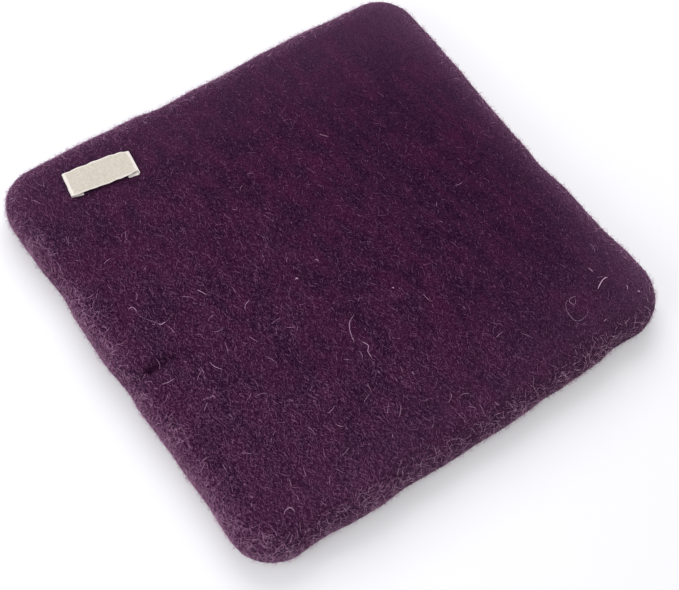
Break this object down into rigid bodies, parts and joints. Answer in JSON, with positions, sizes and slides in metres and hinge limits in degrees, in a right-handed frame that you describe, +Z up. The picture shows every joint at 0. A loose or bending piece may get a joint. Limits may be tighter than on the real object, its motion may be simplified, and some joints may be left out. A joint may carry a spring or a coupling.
{
  "type": "needle felting pad",
  "caption": "Square felted wool pad with rolled edges and a low crown, worked on as the soft base under needle felting, with a bare folded tape label.",
  "frame": {"origin": "middle of the underside, on the surface that the pad lies on", "axes": "+Z up out of the work face, +X along the longer side, +Y to the back, where the label is"},
  "size_m": [0.2062, 0.2022, 0.0224],
  "materials": {
    "felt_skin": "matte",
    "core_wool": "matte",
    "label_cotton": "matte",
    "label_thread": "matte"
  },
  "bodies": {
    "root": {"cover_top": "felt_skin", "cover_bottom": "felt_skin", "core_batt_1": "core_wool", "core_batt_2": "core_wool", "core_batt_3": "core_wool", "core_batt_4": "core_wool", "core_batt_5": "core_wool", "core_batt_6": "core_wool", "label_tape": "label_cotton", "label_stitch_left": "label_thread", "label_stitch_right": "label_thread"}
  },
  "joints": []
}
